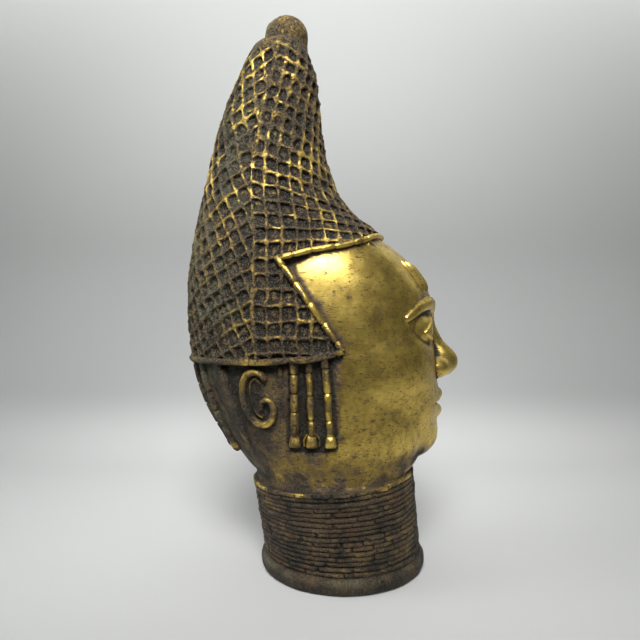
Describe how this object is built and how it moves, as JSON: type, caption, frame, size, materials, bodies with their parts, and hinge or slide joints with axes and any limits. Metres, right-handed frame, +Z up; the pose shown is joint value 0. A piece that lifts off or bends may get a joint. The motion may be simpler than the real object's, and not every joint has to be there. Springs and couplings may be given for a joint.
{
  "type": "benin style bronze head",
  "caption": "Hollow cast brass head with a calm face, tall netted cap with beaded brim and knob, hanging bead strands, and a high ringed collar on a rolled foot, standing upright.",
  "frame": {"origin": "centre of the flat underside of the foot ring", "axes": "+Z up through the cap's tip, the face looks to -Y, and +X is the head's left"},
  "size_m": [0.1432, 0.199, 0.4],
  "materials": {
    "brass": "cast brass, polished on the face and brown-black with patina in the hollows"
  },
  "bodies": {
    "root": {"bronze_head": "brass"}
  },
  "joints": []
}
